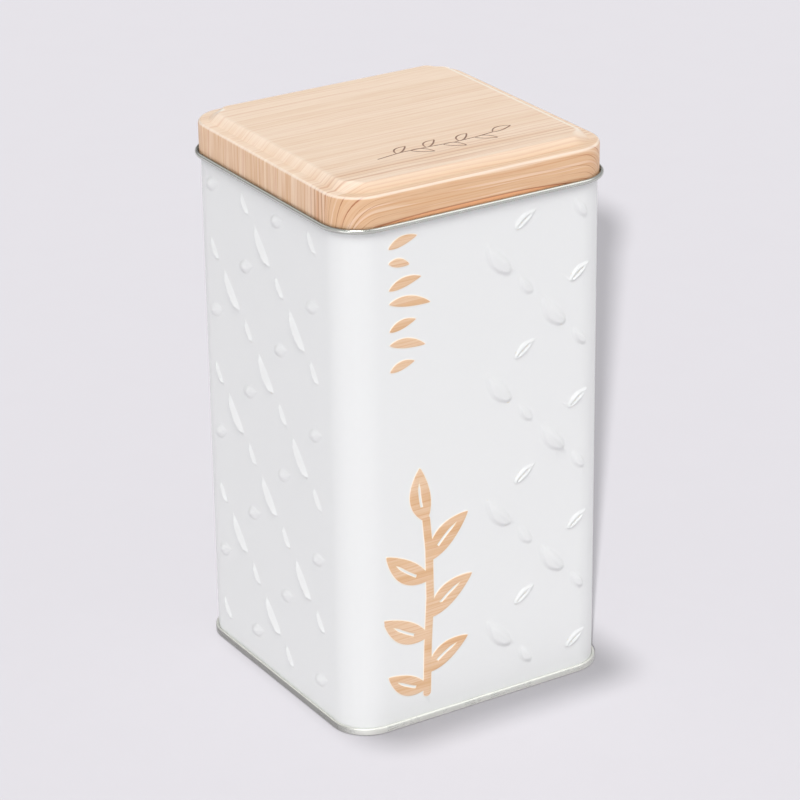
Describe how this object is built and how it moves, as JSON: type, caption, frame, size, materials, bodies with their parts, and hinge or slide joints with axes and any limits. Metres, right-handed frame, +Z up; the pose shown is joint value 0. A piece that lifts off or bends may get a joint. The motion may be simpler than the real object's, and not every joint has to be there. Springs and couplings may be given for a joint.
{
  "type": "tea tin",
  "caption": "Tall square tinplate canister with rounded corners, a folded base and a slip-over lid that lifts off.",
  "frame": {"origin": "middle of the footprint, on the surface that the tin stands on", "axes": "+Z up out of the mouth, the front of the tin is -Y, and the body's side seam is in the middle of +Y"},
  "size_m": [0.0832, 0.0832, 0.152],
  "materials": {
    "white_enamel": "satin",
    "bare_tinplate": "satin",
    "wood_print": "satin"
  },
  "bodies": {
    "tin": {"body_wall": "white_enamel", "base_end": "bare_tinplate"},
    "lid": {"lid": "wood_print"}
  },
  "joints": [
    {"name": "lid_lift", "type": "slide", "parent": "tin", "child": "lid", "axis": [0, 0, 1], "range_m": [0, 0.05]}
  ]
}
